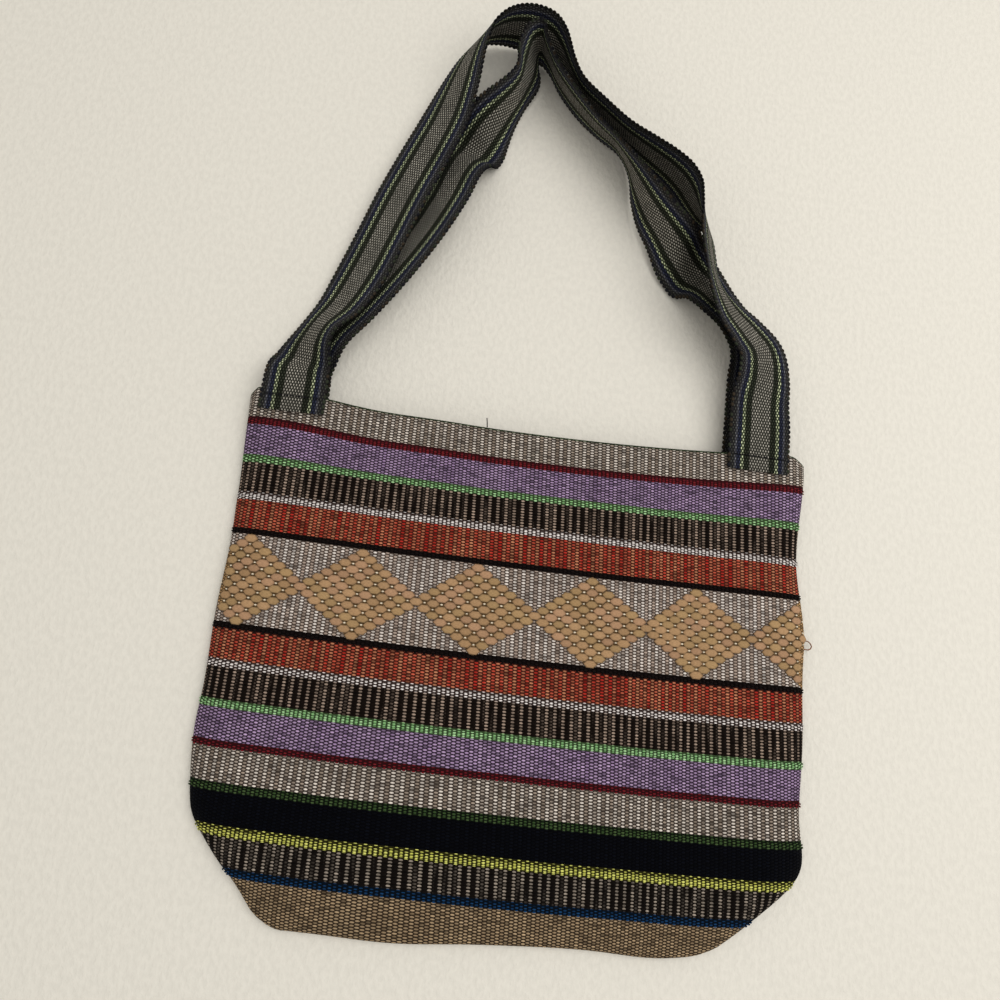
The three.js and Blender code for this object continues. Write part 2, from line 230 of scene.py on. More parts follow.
@dataclass(frozen=True)
class BagForm:
    """The bag's shape as it lies: the sizes and curves of the solid and the small unevenness on top, mm."""

    width: float = 340  # width of the bag
    cloth: float = 2.2  # one layer of the cloth
    hem: float = 2.8  # the pressed hem at the mouth
    seam: float = 9  # seam allowance along the sides and the base
    corner: float = 46.5  # height up the side at which a boxed base corner begins
    corner_slope: float = 1.17  # how far the corner runs in for each millimetre down
    corner_rounding: float = 5  # softness of the bend between a side and its corner
    base_rounding: float = 8  # the same between a corner and the base fold
    flatness: float = 13  # the higher, the closer to the sides the front panel turns down
    back_flat: float = 0.92  # share of the half width over which the back panel lies flat
    crown: float = 0.6  # power of the panels' curve from the folds up to the middle
    crown_depth: float = 95  # distance over which the panels part above the base fold
    body_top: float = 12.4  # height of the middle of the bag
    mouth_lift: float = 3.4  # height of the back hem, which rests on the back handle's ends
    lift_start: float = 60  # distance below the mouth at which the back panel leaves the floor
    lift_end: float = 20  # distance below the mouth at which it is up, and the hem begins
    mouth_top: float = 14.2  # height of the front hem
    edge_height: float = 4.8  # height of the folded sides and of the base fold
    mouth_sag: float = 4.5  # dip of the mouth's middle below its corners, each way from the mean
    cloth_sag: float = 1  # the same for the stripes further down
    sag_depth: float = 62  # distance from the mouth over which the dip dies out
    base_skew: float = 4.5  # how far the base fold runs off the line of the stripes, each way
    mouth_corner: float = 5.5  # how far the corners of the mouth droop
    corner_depth: float = 16  # distance from the mouth over which the droop dies out
    wave: float = 0.9  # height of the wave in the upper stripes at the left
    rib_rise: float = 0.6  # height of the dark ribs
    line_rise: float = 0.35  # height of the raised lines
    # how the right side strays above the diamonds
    right_up: tuple[Ramp, ...] = ((0.8, 70, 104), (-6, -5, 48))
    right_down: tuple[Ramp, ...] = ((3, 92, 124),)  # the same below them
    left_up: tuple[Ramp, ...] = ((-2.8, 52, 105),)  # how the left side strays above the diamonds
    left_down: tuple[Ramp, ...] = ((3.4, 75, 120), (-3, 130, 152))  # the same below them
    left_out: float = 0.6  # how far it lies out all along
    # how the weave's columns are drawn in at the right
    drawn_right: tuple[Ramp, ...] = ((1.2, 0, 45), (7.6, 50, 118))
    drawn_left: tuple[Ramp, ...] = ((-4.5, 70, 170),)  # the same at the left

    @property
    def mouth_y(self) -> float:
        """Distance of the mouth from the middle of the diamonds."""
        above = STRIPES[: STRIPES.index(DIAMONDS)]
        return sum(stripe.width for stripe in above) + DIAMONDS.width / 2

    @property
    def base_y(self) -> float:
        """Place of the base fold."""
        return self.mouth_y - sum(stripe.width for stripe in STRIPES)

    def half_width(self, y: float) -> float:
        """Half the bag's width at the row y.

        Args:
            y: Place along the cloth.

        Returns:
            Half the width there.
        """
        up = y - self.base_y
        bend = self.corner_rounding * np.logaddexp(0, (self.corner - up) / self.corner_rounding)
        turn = np.maximum(0, 1 - up / self.base_rounding) ** 2
        return self.width / 2 - self.corner_slope * bend - self.base_rounding * turn

    def stray(self, u: Array, y: float) -> Array:
        """How far the cloth strays sideways, most at its sides, which do not lie quite straight.

        Args:
            u: Shares of the half width.
            y: Place along the cloth.

        Returns:
            The way to the right at each share.
        """
        right = ramps(y, self.right_up) + ramps(-y, self.right_down)
        left = self.left_out + ramps(y, self.left_up) + ramps(-y, self.left_down)
        return (np.where(u > 0, right, left) + 0.5 * np.sin(y / 12)) * u * u

    def gather(self, x: Array, y: float) -> Array:
        """How far the weave's columns, drawn in at both sides and leaning a little, run off an even grid."""
        drawn = ramps(x, self.drawn_right) + ramps(-x, self.drawn_left)
        return drawn + 0.06 * y * smoothstep(x, -110, -10)

    def skew(self, u: Array, y: float) -> Array:
        """How far a row near the base fold, which bellies out in two places, runs off the stripes.

        Args:
            u: Shares of the half width.
            y: Place along the cloth.

        Returns:
            The way up the cloth at each share.
        """
        belly = 3.8 * np.exp(-(((u - 0.85) / 0.28) ** 2)) + 2 * np.exp(-(((u + 0.45) / 0.3) ** 2))
        near = 1 - smoothstep(y, self.base_y, self.base_y + BASE_STRIPE.width)
        return (self.base_skew * u - belly) * near

    def near_mouth(self, y: float, depth: float) -> float:
        """A rise from 0 at a depth below the mouth to 1 at the mouth."""
        return smoothstep(y, self.mouth_y - depth, self.mouth_y)

    def row_y(self, u: Array, y: float) -> Array:
        """Where the row y of the cloth lies at the share u of the half width.

        Args:
            u: Shares of the half width.
            y: Place along the cloth.

        Returns:
            The place along at each share.
        """
        rise = self.near_mouth(y, self.sag_depth)
        sag = self.cloth_sag + (self.mouth_sag - self.cloth_sag) * rise
        corner = self.mouth_corner * (smoothstep(u, 0.93, 1.01) + smoothstep(-u, 0.968, 1.008))
        droop = corner * self.near_mouth(y, self.corner_depth)
        wave = self.wave * np.sin(10.3 * (u + 0.99)) * smoothstep(-u, 0.1, 0.7) * rise
        return y + sag * (2 * u * u - 1) + wave + self.skew(u, y) - droop

    def lift(self, y: float) -> float:
        """Height of the back panel at the row y."""
        return self.mouth_lift * smoothstep(y, self.mouth_y - self.lift_start, self.mouth_y - self.lift_end)

    def crown_along(self, y: float) -> float:
        """How full the front panel stands above the base fold."""
        return (1 - (1 - np.clip((y - self.base_y) / self.crown_depth, 0, 1)) ** 4) ** self.crown

    def edge_z(self, y: float) -> float:
        """Height of the middle of the folded sides."""
        return self.lift(y) + self.edge_height / 2

    def layer(self, y: float) -> float:
        """Thickness of one panel, which grows to the hem."""
        return self.cloth + (self.hem - self.cloth) * self.near_mouth(y, self.lift_end)

    def front_z(self, u: Array, y: float) -> Array:
        """Height of the front panel without its weave.

        Args:
            u: Shares of the half width.
            y: Place along the cloth.

        Returns:
            The height at each share.
        """
        across = np.maximum(0, 1 - np.abs(u) ** self.flatness) ** self.crown
        along = self.crown_along(y)
        top = self.body_top + (self.mouth_top - self.body_top) * self.near_mouth(y, self.sag_depth)
        edge = self.edge_z(y) + np.where(across > 0, self.edge_height / 2, 0) * (1 - along)
        return edge + (top - edge) * across * along

    def back_z(self, u: Array, y: float) -> Array:
        """Height of the underside of the back panel."""
        out = np.clip((np.abs(u) - self.back_flat) / (1 - self.back_flat), 0, 1)
        return self.lift(y) + self.edge_height / 2 * out**3

    def slack(self, x: Array, y: float) -> Array:
        """Soft waves of the front panel, which die out under the handle ends and at the folds.

        Args:
            x: Places across.
            y: Place along the cloth.

        Returns:
            The height of the waves at each place.
        """
        waves = 0.45 * np.sin(x / 31 + 0.8) * np.sin(y / 43 + 0.4)
        waves += 0.3 * np.sin(x / 17 - y / 29 + 2.1) + 0.22 * np.sin(x / 9.5 + y / 61)
        quiet = smoothstep(self.mouth_y - y, 16, 46) * smoothstep(y - self.base_y, 0, 30)
        return waves * quiet * smoothstep(self.width / 2 - np.abs(x), 2, 22)

    def points(self, u: Array, y: float, z: Array, inset: float = 0.0) -> Array:
        """Points of one row.

        Args:
            u: Shares of the half width.
            y: Place of the row along the cloth.
            z: Height of each point.
            inset: How much narrower the row is than the bag, each way.

        Returns:
            The points.
        """
        half = self.half_width(y) - inset
        share = u * (half / self.half_width(y))
        return np.stack([u * half + self.stray(share, y), self.row_y(share, y), z], axis=1)


class Graph:
    """Adds and wires the nodes of a tree."""

    def __init__(self, tree: bpy.types.NodeTree) -> None:
        """Takes an empty tree."""
        self.tree = tree

    def node(self, kind: str, feeds: dict | None = None, **settings: object) -> bpy.types.Node:
        """Adds a node.

        Args:
            kind: Type of the node.
            feeds: For each input, by name or number, the socket that feeds it or its constant.
            **settings: Properties to set on it.

        Returns:
            The new node.
        """
        made = self.tree.nodes.new(kind)
        for name, value in settings.items():
            setattr(made, name, value)
        for key, value in (feeds or {}).items():
            if isinstance(value, Socket):
                self.tree.links.new(value, made.inputs[key])
            else:
                made.inputs[key].default_value = value
        return made

    def math(self, operation: str, *values: object) -> Socket:
        """The result of a sum on one to three values."""
        return self.node("ShaderNodeMath", dict(enumerate(values)), operation=operation).outputs[0]

    def scale(self, vector: object, amount: object) -> Socket:
        """A size made larger or smaller, or a colour made brighter or darker."""
        return self.node("ShaderNodeVectorMath", {0: vector, "Scale": amount}, operation="SCALE").outputs[0]

    def split(self, vector: object) -> list[Socket]:
        """The three parts of a vector."""
        return list(self.node("ShaderNodeSeparateXYZ", {0: vector}).outputs)


class Paint(Graph):
    """The nodes of a procedural material."""

    def __init__(self, name: str) -> None:
        """Starts an empty material of that name.

        Args:
            name: Name of the material.
        """
        self.material = bpy.data.materials.new(name)
        self.material.use_nodes = True
        self.material.node_tree.nodes.clear()
        super().__init__(self.material.node_tree)

    def times(self, first: object, *others: object) -> object:
        """The product of several values.

        Args:
            first: The first value.
            *others: The others.

        Returns:
            Their product.
        """
        for other in others:
            first = self.math("MULTIPLY", first, other)
        return first

    def mix(self, share: object, low: object, high: object) -> Socket:
        """A colour between low at a share of 0 and high at 1; sockets 6, 7 and 2 are the node's colours."""
        return self.node("ShaderNodeMix", {0: share, 6: low, 7: high}, data_type="RGBA").outputs[2]

    def spread(self, value: object, low: float, high: float, start: float, end: float) -> Socket:
        """A value moved from the range low to high into the range start to end."""
        feeds = dict(enumerate((value, low, high, start, end)))
        return self.node("ShaderNodeMapRange", feeds, interpolation_type="SMOOTHSTEP").outputs[0]

    def vary(self, noise: object, start: float, end: float) -> Socket:
        """Noise, which mostly lies between 0.3 and 0.7, moved into the range start to end."""
        return self.spread(noise, 0.3, 0.7, start, end)

    def steps(self, value: object, stops: list[tuple[float, Colour]]) -> Socket:
        """Fields of colour.

        Args:
            value: Place, from 0 to 1.
            stops: Start and colour of each field, in order.

        Returns:
            The colour of the field that the place is in.
        """
        made = self.node("ShaderNodeValToRGB", {0: value})
        ramp = made.color_ramp
        ramp.interpolation = "CONSTANT"
        while len(ramp.elements) > 1:
            ramp.elements.remove(ramp.elements[-1])
        ramp.elements[0].position = 0
        ramp.elements[0].color = stops[0][1]
        for position, colour in stops[1:]:
            ramp.elements.new(position).color = colour
        return made.outputs[0]

    def held(self, attribute: str, output: str) -> Socket:
        """What the mesh carries under a name."""
        return self.node("ShaderNodeAttribute", attribute_name=attribute).outputs[output]

    def spot(self) -> list[Socket]:
        """Place across and along on the object itself, metres."""
        return self.split(self.node("ShaderNodeTexCoord").outputs["Object"])[:2]

    def flat(self, x: object, y: object) -> Socket:
        """A flat place from its two parts."""
        return self.node("ShaderNodeCombineXYZ", {0: x, 1: y}).outputs[0]

    def noise(self, x: object, y: object, dense_x: float, dense_y: float, detail: float = 2) -> Socket:
        """Cloudy noise from 0 to 1.

        Args:
            x: Place across.
            y: Place along.
            dense_x: Clouds to a unit across.
            dense_y: Clouds to a unit along.
            detail: How many finer layers it has.

        Returns:
            The noise.
        """
        place = self.flat(self.times(x, dense_x), self.times(y, dense_y))
        feeds = {"Vector": place, "Scale": 1.0, "Detail": detail}
        return self.node("ShaderNodeTexNoise", feeds, noise_dimensions="2D").outputs[0]

    def chance(self, x: object, y: object) -> Socket:
        """A random number from 0 to 1 for each whole place."""
        feeds = {"Vector": self.flat(x, y)}
        return self.node("ShaderNodeTexWhiteNoise", feeds, noise_dimensions="2D").outputs["Value"]

    def finish(
        self, colour: Socket, roughness: object, height: Socket, depth: float, sheen: float
    ) -> Material:
        """Ends the material with a soft cloth surface.

        Args:
            colour: Colour of the surface.
            roughness: Its roughness.
            height: Relief from 0 to 1.
            depth: What a relief of 1 stands for, metres.
            sheen: Weight of the fuzzy sheen.

        Returns:
            The material.
        """
        bump = self.node("ShaderNodeBump", {"Distance": depth, "Strength": 1.0, "Height": height})
        surface = {
            "Base Color": colour,
            "Roughness": roughness,
            "Normal": bump.outputs[0],
            "Specular IOR Level": 0.04,
            "Sheen Weight": sheen,
            "Sheen Roughness": 0.5,
        }
        self.node("ShaderNodeOutputMaterial", {0: self.node("ShaderNodeBsdfPrincipled", surface).outputs[0]})
        return self.material


@dataclass(frozen=True)
class Dots:
    """The woven dots under one place of a material."""

    height: Socket  # relief of the dot, 0 between the dots
    odd: Socket  # 1 in the odd columns
    chance: Socket  # a random number for each dot
    column: Socket  # a random number for each column

    @classmethod
    def lay(
        cls, paint: Paint, x: object, y: object, column: float, row: float, reach: object, fill: object
    ) -> "Dots":
        """Lays dots in columns, every second column shifted by half a row.

        Args:
            paint: The material.
            x: Place across the columns, mm.
            y: Place along the columns, mm.
            column: Width of a column, mm.
            row: Distance between two dots of a column, mm.
            reach: Half a dot's size across, in columns.
            fill: Half a dot's size along, in rows.

        Returns:
            The dots.
        """
        across = paint.math("DIVIDE", x, column)
        index = paint.math("FLOOR", across)
        odd = paint.math("FLOORED_MODULO", index, 2.0)
        along = paint.math("MULTIPLY_ADD", odd, 0.5, paint.math("DIVIDE", y, row))
        chance = paint.chance(index, paint.math("FLOOR", along))
        dx, dy = (
            paint.math("DIVIDE", paint.math("SUBTRACT", paint.math("FRACT", place), 0.5), size)
            for place, size in ((across, reach), (along, fill))
        )
        far = paint.math("MULTIPLY_ADD", dx, dx, paint.times(dy, dy))
        height = paint.math("SQRT", paint.math("MAXIMUM", 0.0, paint.math("SUBTRACT", 1.0, far)))
        return cls(height, odd, chance, paint.chance(index, 0.5))


@dataclass(frozen=True)
class StripedClothFinish:
    """The striped, dotted cloth of the bag."""

    grid: WeaveGrid  # the grid of dots
    form: BagForm  # the bag's shape, for where the stripes run
    relief: float = 0.0007  # depth of the weave, metres
    tip_blur: float = 0.02  # softness of the diamonds' edge, as a share of their height

    def fields(self, take: Callable[[Stripe], Colour]) -> list[tuple[float, Colour]]:
        """Where each stripe starts, from the base fold up, and what is taken from it.

        Args:
            take: Gives what is wanted of a stripe.

        Returns:
            The fields, for the steps of a material.
        """
        length = self.form.mouth_y - self.form.base_y
        start = 0.0
        found = []
        for stripe in reversed(STRIPES):
            found.append((start / length, take(stripe)))
            start += stripe.width
        return found

    def diamond(self, paint: Paint, x: object, y: object) -> Socket:
        """1 inside the diamonds and 0 outside them.

        Args:
            paint: The material.
            x: Place across the cloth, mm.
            y: Place along the cloth, mm.

        Returns:
            The share of the diamonds at the place.
        """
        tip = paint.math("SUBTRACT", x, self.grid.diamond_offset)
        tip = paint.math("DIVIDE", tip, self.grid.diamond_pitch)
        middle = paint.math("ABSOLUTE", paint.math("SUBTRACT", paint.math("FRACT", tip), 0.5))
        away = paint.math("DIVIDE", paint.math("ABSOLUTE", y), DIAMONDS.width / 2 + 0.5)
        within = paint.math("SUBTRACT", paint.math("SUBTRACT", 1.0, paint.times(middle, 2.0)), away)
        return paint.spread(within, -self.tip_blur, self.tip_blur, 0.0, 1.0)

    def material(self) -> Material:
        """Builds the material.

        Returns:
            The material.
        """
        paint = Paint("striped_cloth")
        x, y, _ = paint.split(paint.held("cloth", "Vector"))
        base = self.form.base_y
        up = paint.math("DIVIDE", paint.math("SUBTRACT", y, base), self.form.mouth_y - base)
        order, reach, fill = paint.split(paint.steps(up, self.fields(Stripe.numbers)))
        first, second, gap = (
            paint.steps(up, self.fields(lambda stripe, part=part: shade(*getattr(stripe, part))))
            for part in ("first", "second", "gap")
        )
        dots = Dots.lay(paint, x, y, self.grid.column, self.grid.row, reach, fill)
        streak = paint.noise(x, y, 0.16, 0.02)
        cloud = paint.noise(x, y, 0.03, 0.11)
        slub = paint.noise(x, y, 0.11, 0.62, 1)
        turn = paint.math("MULTIPLY_ADD", order, paint.math("SUBTRACT", dots.odd, dots.column), dots.column)
        turn = paint.math("ADD", turn, paint.vary(streak, -0.25, 0.25))
        level = paint.times(
            paint.math("ADD", paint.vary(streak, -0.1, 0.1), paint.vary(cloud, 0.9, 1.08)),
            paint.math("MULTIPLY_ADD", dots.chance, 0.44, 0.78),
            paint.spread(slub, 0.54, 0.7, 1.0, 0.42),
        )
        shown = paint.spread(dots.height, 0.15, 0.75, 0.0, 1.0)
        striped = paint.mix(shown, gap, paint.scale(paint.mix(turn, first, second), level))
        ground = paint.mix(shown, shade(*GROUND_GAP), paint.scale(shade(*GROUND)[:3], level))
        colour = paint.mix(self.diamond(paint, x, y), striped, ground)
        roughness = paint.spread(dots.height, 0.0, 1.0, 0.95, 0.82)
        return paint.finish(colour, roughness, dots.height, self.relief, 0.01)


@dataclass(frozen=True)
class WebbingFinish:
    """The woven band of the handles, with dotted lines along it."""

    width: float = 38  # width of the band, mm
    column: float = 0.87  # width of a column of dots, mm
    row: float = 3.5  # distance between two dots of a column, mm
    reach: float = 0.46  # half a dot's size across, in columns
    fill: float = 0.2  # half a dot's size along, in rows
    relief: float = 0.0006  # depth of the weave, metres

    @staticmethod
    def fields(part: int) -> list[tuple[float, Colour]]:
        """The fields of both halves of the band, for its yarns as part 1 or its gaps as part 2.

        Args:
            part: Which colour of a line is wanted.

        Returns:
            The fields, for the steps of a material.
        """
        half = [(line[0], shade(*line[part])) for line in BAND_LINES]
        mirrored = [(1 - end, colour) for (end, _), (_, colour) in zip(half[1:], half)]
        return half + mirrored[::-1]

    def material(self) -> Material:
        """Builds the material.

        Returns:
            The material.
        """
        paint = Paint("handle_webbing")
        across, along, _ = paint.split(paint.held("band", "Vector"))
        x = paint.times(across, self.width)
        dots = Dots.lay(paint, x, along, self.column, self.row, self.reach, self.fill)
        yarn, gap = (paint.steps(across, self.fields(part)) for part in (1, 2))
        cloud = paint.noise(along, across, 0.06, 3.0)
        level = paint.times(paint.vary(cloud, 0.84, 1.1), paint.math("MULTIPLY_ADD", dots.chance, 0.5, 0.7))
        shown = paint.spread(dots.height, 0.1, 0.7, 0.0, 1.0)
        colour = paint.mix(shown, gap, paint.scale(yarn, level))
        roughness = paint.spread(dots.height, 0.0, 1.0, 0.95, 0.8)
        return paint.finish(colour, roughness, dots.height, self.relief, 0.02)


@dataclass(frozen=True)
class YarnFinish:
    """Yarn whose colour each bead carries, with fine fibres, a change of tone from bead to bead, and painted
    shade that darkens each bead from near its top down to its lower half.
    """

    name: str  # name of the material
    fibre: float = 0.00015  # depth of the fibres, metres
    sheen: float = 0.03  # weight of the fuzzy sheen

    def material(self) -> Material:
        """Builds the material.

        Returns:
            The material.
        """
        paint = Paint(self.name)
        fine = paint.noise(*paint.spot(), 700.0, 2600.0)
        level = paint.times(
            paint.math("MULTIPLY_ADD", paint.held("tint", "Fac"), 0.2, 0.9),
            paint.vary(fine, 0.86, 1.1),
            # painted shade: the bead's colour falls to about a quarter from near its top down to its lower
            # half
            paint.spread(paint.held("painted_shade_height", "Fac"), 0.03, 0.42, 0.24, 1.0),
        )
        colour = paint.scale(paint.held("yarn", "Color"), level)
        return paint.finish(colour, paint.vary(fine, 0.92, 0.78), fine, self.fibre, self.sheen)


@dataclass(frozen=True)
class FloorFinish:
    """The pale, slightly fuzzy floor."""

    colour: Look = (234, 229, 217)  # its colour
    fuzz: float = 0.0005  # depth of the fuzz, metres

    def material(self) -> Material:
        """Builds the material.

        Returns:
            The material.
        """
        paint = Paint("floor")
        soft = paint.noise(*paint.spot(), 340.0, 240.0, 3)
        colour = paint.scale(shade(*self.colour)[:3], paint.vary(soft, 0.97, 1.02))
        return paint.finish(colour, 0.95, soft, self.fuzz, 0.0)


@dataclass(frozen=True)
class Bead:
    """A kind of bead of yarn, mm."""

    length: float  # length of a bead
    width: float  # width of a bead
    height: float  # height of a bead, half of it above its point
    uneven: float  # how much the beads differ in size
    seed: int  # fixed start of the random numbers
    segments: int = 6  # faces around a bead
    rings: int = 4  # rings along a bead
    rise: float = 0.0  # height of its point above the cloth


FLOAT_BEAD = Bead(8.5, 5.1, 1.4, 0.06, 3, rings=7, rise=0.2)
TIE_BEAD = Bead(1.8, 1.1, 1.2, 0.12, 5, rise=0.3)
LINE_BEAD = Bead(2.2, 1.02, 0.9, 0.1, 11, rise=0.45)
LOOSE_BEAD = Bead(1.2, 0.75, 0.75, 0.1, 29)
SELVEDGE_BEAD = Bead(2.9, 2.4, 1.75, 0.0, 17, 8, 5)


def carry(mesh: bpy.types.Mesh, name: str, values: Array) -> None:
    """Stores a vector on each point of a mesh, for nodes to read."""
    layer = mesh.attributes.new(name, "FLOAT_VECTOR", "POINT")
    layer.data.foreach_set("vector", np.asarray(values, dtype=np.float32).ravel())


def placed(name: str, data: bpy.types.ID) -> Piece:
    """Puts a mesh, a light or a camera into the scene as an object of that name.

    Args:
        name: Name of the object.
        data: What it shows.

    Returns:
        The object.
    """
    made = bpy.data.objects.new(name, data)
    bpy.context.scene.collection.objects.link(made)
    return made


def solid(name: str, points: Array, faces: list[list[int]], material: Material) -> Piece:
    """Makes a smooth mesh object.

    Args:
        name: Name of the object.
        points: Its points, mm.
        faces: Its faces as point numbers.
        material: Its finish.

    Returns:
        The object.
    """
    mesh = bpy.data.meshes.new(name)
    mesh.from_pydata((points * MM).tolist(), [], faces)
    mesh.polygons.foreach_set("use_smooth", [True] * len(mesh.polygons))
    mesh.materials.append(material)
    mesh.update()
    return placed(name, mesh)


def joined(piece: Piece) -> Piece:
    """Ties a piece to the bag.

    Args:
        piece: The piece.

    Returns:
        The same piece.
    """
    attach(piece, "root")
    return piece


class BeadTree(Graph):
    """Geometry nodes that lay one rounded bead of yarn on each point of a mesh."""

    INPUTS = {
        "Points": "Geometry",
        "Length": "Float",
        "Width": "Float",
        "Height": "Float",
        "Uneven": "Float",
        "Seed": "Int",
        "Segments": "Int",
        "Rings": "Int",
        "Yarn": "Material",
    }

    def __init__(self) -> None:
        """Builds the node tree."""
        super().__init__(bpy.data.node_groups.new("yarn_beads", "GeometryNodeTree"))
        face = self.tree.interface
        for name, kind in self.INPUTS.items():
            face.new_socket(name, in_out="INPUT", socket_type="NodeSocket" + kind)
        face.new_socket("Beads", in_out="OUTPUT", socket_type="NodeSocketGeometry")
        self._nodes()

    def _store(self, name: str, domain: str, shape: object, value: object) -> Socket:
        """A shape that carries a number under a name.

        Args:
            name: Name of the number.
            domain: What has a number each.
            shape: The shape.
            value: The number.

        Returns:
            The shape with it.
        """
        feeds = {"Geometry": shape, "Name": name, "Value": value}
        made = self.node("GeometryNodeStoreNamedAttribute", feeds, data_type="FLOAT", domain=domain)
        return made.outputs[0]

    def _nodes(self) -> None:
        """Adds and wires the nodes."""
        given = self.node("NodeGroupInput").outputs
        ball = {"Radius": 0.5, "Segments": given["Segments"], "Rings": given["Rings"]}
        bead = self.node("GeometryNodeMeshUVSphere", ball).outputs["Mesh"]
        height = self.split(self.node("GeometryNodeInputPosition").outputs[0])[2]
        # each bead's own height, which the yarn material reads to paint shade on its lower half
        bead = self._store("painted_shade_height", "POINT", bead, height)
        bead = self.node("GeometryNodeSetShadeSmooth", {"Geometry": bead}).outputs[0]
        turned = {}
        for attribute, axis, pivot in (("facing", "Z", "AUTO"), ("along", "X", "Z")):
            way = self.node("GeometryNodeInputNamedAttribute", {"Name": attribute}, data_type="FLOAT_VECTOR")
            feeds = {"Vector": way.outputs["Attribute"], **turned}
            align = self.node("FunctionNodeAlignRotationToVector", feeds, axis=axis, pivot_axis=pivot)
            turned = {"Rotation": align.outputs["Rotation"]}
        low, high = (self.math(operation, 1.0, given["Uneven"]) for operation in ("SUBTRACT", "ADD"))
        vary = self.node("FunctionNodeRandomValue", {"Min": low, "Max": high, "Seed": given["Seed"]})
        sides = {axis: given[name] for axis, name in enumerate(("Length", "Width", "Height"))}
        size = self.node("ShaderNodeCombineXYZ", sides)
        scale = self.scale(size.outputs[0], vary.outputs["Value"])
        laid = {"Points": given["Points"], "Instance": bead, "Scale": scale, **turned}
        beads = self.node("GeometryNodeInstanceOnPoints", laid).outputs["Instances"]
        tone = self.node("FunctionNodeRandomValue", {"Seed": given["Seed"]}).outputs["Value"]
        beads = self._store("tint", "INSTANCE", beads, tone)
        beads = self.node("GeometryNodeRealizeInstances", {"Geometry": beads}).outputs[0]
        paint = self.node("GeometryNodeSetMaterial", {"Geometry": beads, "Material": given["Yarn"]})
        self.node("NodeGroupOutput", {"Beads": paint.outputs[0]})

    def lay(
        self,
        name: str,
        bead: Bead,
        yarn: Material,
        points: Array,
        facing: Array,
        along: Array,
        colours: Array,
    ) -> Piece:
        """Lays beads on points and turns them into a plain mesh.

        Args:
            name: Name of the new object.
            bead: Their kind.
            yarn: Their material.
            points: Where each bead lies, mm.
            facing: Away from the surface, at each bead or at all.
            along: Direction of the length, of each bead or of all.
            colours: Colour of each bead or of all.

        Returns:
            The object.
        """
        mesh = bpy.data.meshes.new(name + "_points")
        mesh.from_pydata((points * MM).tolist(), [], [])
        carry(mesh, "facing", np.broadcast_to(facing, points.shape))
        carry(mesh, "along", np.broadcast_to(along, points.shape))
        layer = mesh.attributes.new("yarn", "FLOAT_COLOR", "POINT")
        layer.data.foreach_set("color", np.broadcast_to(colours, (len(points), 4)).astype(np.float32).ravel())
        made = placed(name, mesh)
        modifier = made.modifiers.new("beads", "NODES")
        modifier.node_group = self.tree
        values = {
            "Length": bead.length * MM,
            "Width": bead.width * MM,
            "Height": bead.height * MM,
            "Uneven": bead.uneven,
            "Seed": bead.seed,
            "Segments": bead.segments,
            "Rings": bead.rings,
            "Yarn": yarn,
        }
        for item in self.tree.interface.items_tree:
            if item.name in values:
                modifier[item.identifier] = values[item.name]
        graph = bpy.context.evaluated_depsgraph_get()
        held = made.evaluated_get(graph)
        plain = bpy.data.meshes.new_from_object(held, preserve_all_data_layers=True, depsgraph=graph)
        plain.name = name
        made.modifiers.clear()
        made.data = plain
        bpy.data.meshes.remove(mesh)
        return made


LOOSE_ENDS = (  # name, colour and points of the threads that have come out of the right side and of the mouth
    (
        "loose_loop",
        (142, 100, 78),
        (
            (167.5, 3.0, 3.0), (170.0, 3.7, 3.0), (172.0, 3.4, 3.0), (173.6, 2.2, 2.8), (174.4, 0.8, 2.6),
            (173.8, -0.7, 2.6), (172.3, -1.5, 2.8), (170.2, -1.4, 3.0), (167.5, -0.5, 3.0),
        ),
    ),
    ("loose_fibre", (46, 40, 38), ((-31.0, 105.4, 14.6), (-31.3, 107.8, 15.2), (-31.7, 110.1, 15.4))),
)


